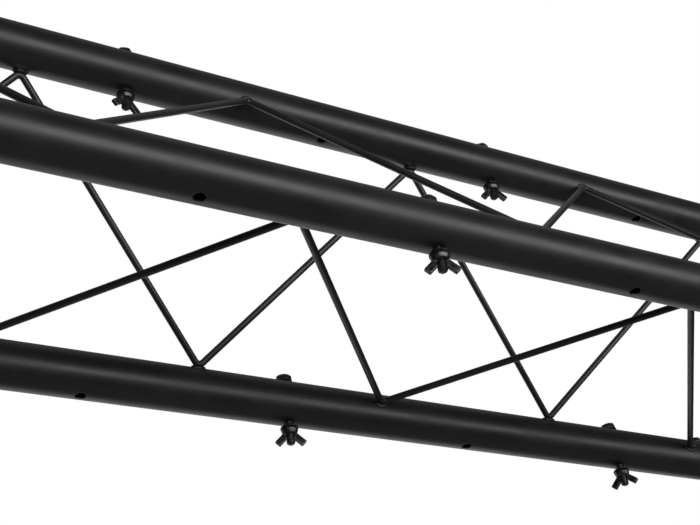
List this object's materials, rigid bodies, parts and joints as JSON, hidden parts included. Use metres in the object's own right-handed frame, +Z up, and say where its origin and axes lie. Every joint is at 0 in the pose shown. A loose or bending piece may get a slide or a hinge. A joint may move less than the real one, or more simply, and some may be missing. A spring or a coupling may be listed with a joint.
{
  "type": "lighting truss section",
  "caption": "Straight triangular truss section in black steel tube with zigzag rod bracing, fixture bolts with wing nuts, and joining spigots.",
  "frame": {"origin": "below the middle of the section, level with the lowest corners of the wing nuts, which it rests on", "axes": "+X along the truss towards its spigots, +Y from the front chord to the rear chord, +Z up to the top chord"},
  "size_m": [1.589, 0.3772, 0.3717],
  "materials": {
    "powder_coat": "satin black powder coat on steel",
    "black_hardware": "black zinc-plated steel, slightly glossy",
    "spigot_steel": "bright zinc-plated steel"
  },
  "bodies": {
    "root": {"chord_front": "powder_coat", "spigot_front": "spigot_steel", "lock_bolt_front": "black_hardware", "lock_nut_front": "black_hardware", "chord_rear": "powder_coat", "spigot_rear": "spigot_steel", "lock_bolt_rear": "black_hardware", "lock_nut_rear": "black_hardware", "chord_top": "powder_coat", "spigot_top": "spigot_steel", "lock_bolt_top": "black_hardware", "lock_nut_top": "black_hardware", "brace_front": "powder_coat", "brace_rear": "powder_coat", "brace_bottom": "powder_coat"},
    "bolt_front_1": {"bolt_front_1": "black_hardware", "head_washer_front_1": "black_hardware"},
    "clamp_front_1": {"clamp_washer_front_1": "black_hardware"},
    "wing_nut_front_1": {"wing_nut_front_1": "black_hardware"},
    "bolt_front_2": {"bolt_front_2": "black_hardware", "head_washer_front_2": "black_hardware"},
    "clamp_front_2": {"clamp_washer_front_2": "black_hardware"},
    "wing_nut_front_2": {"wing_nut_front_2": "black_hardware"},
    "bolt_front_3": {"bolt_front_3": "black_hardware", "head_washer_front_3": "black_hardware"},
    "clamp_front_3": {"clamp_washer_front_3": "black_hardware"},
    "wing_nut_front_3": {"wing_nut_front_3": "black_hardware"},
    "bolt_rear_1": {"bolt_rear_1": "black_hardware", "head_washer_rear_1": "black_hardware"},
    "clamp_rear_1": {"clamp_washer_rear_1": "black_hardware"},
    "wing_nut_rear_1": {"wing_nut_rear_1": "black_hardware"},
    "bolt_rear_2": {"bolt_rear_2": "black_hardware", "head_washer_rear_2": "black_hardware"},
    "clamp_rear_2": {"clamp_washer_rear_2": "black_hardware"},
    "wing_nut_rear_2": {"wing_nut_rear_2": "black_hardware"},
    "bolt_rear_3": {"bolt_rear_3": "black_hardware", "head_washer_rear_3": "black_hardware"},
    "clamp_rear_3": {"clamp_washer_rear_3": "black_hardware"},
    "wing_nut_rear_3": {"wing_nut_rear_3": "black_hardware"},
    "bolt_top_1": {"bolt_top_1": "black_hardware", "head_washer_top_1": "black_hardware"},
    "clamp_top_1": {"clamp_washer_top_1": "black_hardware"},
    "wing_nut_top_1": {"wing_nut_top_1": "black_hardware"},
    "bolt_top_2": {"bolt_top_2": "black_hardware", "head_washer_top_2": "black_hardware"},
    "clamp_top_2": {"clamp_washer_top_2": "black_hardware"},
    "wing_nut_top_2": {"wing_nut_top_2": "black_hardware"},
    "bolt_top_3": {"bolt_top_3": "black_hardware", "head_washer_top_3": "black_hardware"},
    "clamp_top_3": {"clamp_washer_top_3": "black_hardware"},
    "wing_nut_top_3": {"wing_nut_top_3": "black_hardware"}
  },
  "joints": [
    {"name": "bolt_turn_front_1", "type": "hinge", "parent": "root", "child": "bolt_front_1", "pos_m": [-0.3865, -0.1635, 0.05412], "axis": [0, 0, 1], "continuous": true},
    {"name": "clamp_slide_front_1", "type": "slide", "parent": "bolt_front_1", "child": "clamp_front_1", "axis": [0, 0, 1], "range_m": [-0.01, 0.0052]},
    {"name": "wing_nut_turn_front_1", "type": "hinge", "parent": "clamp_front_1", "child": "wing_nut_front_1", "pos_m": [-0.3865, -0.1635, 0.02092], "axis": [0, 0, 1], "range_deg": [-2412, 1260]},
    {"name": "bolt_turn_front_2", "type": "hinge", "parent": "root", "child": "bolt_front_2", "pos_m": [0.0855, -0.1635, 0.05412], "axis": [0, 0, 1], "continuous": true},
    {"name": "clamp_slide_front_2", "type": "slide", "parent": "bolt_front_2", "child": "clamp_front_2", "axis": [0, 0, 1], "range_m": [-0.01, 0.0052]},
    {"name": "wing_nut_turn_front_2", "type": "hinge", "parent": "clamp_front_2", "child": "wing_nut_front_2", "pos_m": [0.0855, -0.1635, 0.02092], "axis": [0, 0, 1], "range_deg": [-2412, 1260]},
    {"name": "bolt_turn_front_3", "type": "hinge", "parent": "root", "child": "bolt_front_3", "pos_m": [0.5575, -0.1635, 0.05412], "axis": [0, 0, 1], "continuous": true},
    {"name": "clamp_slide_front_3", "type": "slide", "parent": "bolt_front_3", "child": "clamp_front_3", "axis": [0, 0, 1], "range_m": [-0.01, 0.0052]},
    {"name": "wing_nut_turn_front_3", "type": "hinge", "parent": "clamp_front_3", "child": "wing_nut_front_3", "pos_m": [0.5575, -0.1635, 0.02092], "axis": [0, 0, 1], "range_deg": [-2412, 1260]},
    {"name": "bolt_turn_rear_1", "type": "hinge", "parent": "root", "child": "bolt_rear_1", "pos_m": [-0.3865, 0.1635, 0.05412], "axis": [0, 0, 1], "continuous": true},
    {"name": "clamp_slide_rear_1", "type": "slide", "parent": "bolt_rear_1", "child": "clamp_rear_1", "axis": [0, 0, 1], "range_m": [-0.01, 0.0052]},
    {"name": "wing_nut_turn_rear_1", "type": "hinge", "parent": "clamp_rear_1", "child": "wing_nut_rear_1", "pos_m": [-0.3865, 0.1635, 0.02092], "axis": [0, 0, 1], "range_deg": [-2412, 1260]},
    {"name": "bolt_turn_rear_2", "type": "hinge", "parent": "root", "child": "bolt_rear_2", "pos_m": [0.0855, 0.1635, 0.05412], "axis": [0, 0, 1], "continuous": true},
    {"name": "clamp_slide_rear_2", "type": "slide", "parent": "bolt_rear_2", "child": "clamp_rear_2", "axis": [0, 0, 1], "range_m": [-0.01, 0.0052]},
    {"name": "wing_nut_turn_rear_2", "type": "hinge", "parent": "clamp_rear_2", "child": "wing_nut_rear_2", "pos_m": [0.0855, 0.1635, 0.02092], "axis": [0, 0, 1], "range_deg": [-2412, 1260]},
    {"name": "bolt_turn_rear_3", "type": "hinge", "parent": "root", "child": "bolt_rear_3", "pos_m": [0.5575, 0.1635, 0.05412], "axis": [0, 0, 1], "continuous": true},
    {"name": "clamp_slide_rear_3", "type": "slide", "parent": "bolt_rear_3", "child": "clamp_rear_3", "axis": [0, 0, 1], "range_m": [-0.01, 0.0052]},
    {"name": "wing_nut_turn_rear_3", "type": "hinge", "parent": "clamp_rear_3", "child": "wing_nut_rear_3", "pos_m": [0.5575, 0.1635, 0.02092], "axis": [0, 0, 1], "range_deg": [-2412, 1260]},
    {"name": "bolt_turn_top_1", "type": "hinge", "parent": "root", "child": "bolt_top_1", "pos_m": [-0.6225, 0, 0.33731], "axis": [0, 0, 1], "continuous": true},
    {"name": "clamp_slide_top_1", "type": "slide", "parent": "bolt_top_1", "child": "clamp_top_1", "axis": [0, 0, 1], "range_m": [-0.01, 0.0052]},
    {"name": "wing_nut_turn_top_1", "type": "hinge", "parent": "clamp_top_1", "child": "wing_nut_top_1", "pos_m": [-0.6225, 0, 0.30411], "axis": [0, 0, 1], "range_deg": [-2412, 1260]},
    {"name": "bolt_turn_top_2", "type": "hinge", "parent": "root", "child": "bolt_top_2", "pos_m": [-0.1505, 0, 0.33731], "axis": [0, 0, 1], "continuous": true},
    {"name": "clamp_slide_top_2", "type": "slide", "parent": "bolt_top_2", "child": "clamp_top_2", "axis": [0, 0, 1], "range_m": [-0.01, 0.0052]},
    {"name": "wing_nut_turn_top_2", "type": "hinge", "parent": "clamp_top_2", "child": "wing_nut_top_2", "pos_m": [-0.1505, 0, 0.30411], "axis": [0, 0, 1], "range_deg": [-2412, 1260]},
    {"name": "bolt_turn_top_3", "type": "hinge", "parent": "root", "child": "bolt_top_3", "pos_m": [0.3215, 0, 0.33731], "axis": [0, 0, 1], "continuous": true},
    {"name": "clamp_slide_top_3", "type": "slide", "parent": "bolt_top_3", "child": "clamp_top_3", "axis": [0, 0, 1], "range_m": [-0.01, 0.0052]},
    {"name": "wing_nut_turn_top_3", "type": "hinge", "parent": "clamp_top_3", "child": "wing_nut_top_3", "pos_m": [0.3215, 0, 0.30411], "axis": [0, 0, 1], "range_deg": [-2412, 1260]}
  ],
  "couplings": [
    {"joint": "wing_nut_turn_front_1", "follows": "clamp_slide_front_1", "rad_per_m": 4188.8},
    {"joint": "wing_nut_turn_front_2", "follows": "clamp_slide_front_2", "rad_per_m": 4188.8},
    {"joint": "wing_nut_turn_front_3", "follows": "clamp_slide_front_3", "rad_per_m": 4188.8},
    {"joint": "wing_nut_turn_rear_1", "follows": "clamp_slide_rear_1", "rad_per_m": 4188.8},
    {"joint": "wing_nut_turn_rear_2", "follows": "clamp_slide_rear_2", "rad_per_m": 4188.8},
    {"joint": "wing_nut_turn_rear_3", "follows": "clamp_slide_rear_3", "rad_per_m": 4188.8},
    {"joint": "wing_nut_turn_top_1", "follows": "clamp_slide_top_1", "rad_per_m": 4188.8},
    {"joint": "wing_nut_turn_top_2", "follows": "clamp_slide_top_2", "rad_per_m": 4188.8},
    {"joint": "wing_nut_turn_top_3", "follows": "clamp_slide_top_3", "rad_per_m": 4188.8}
  ]
}
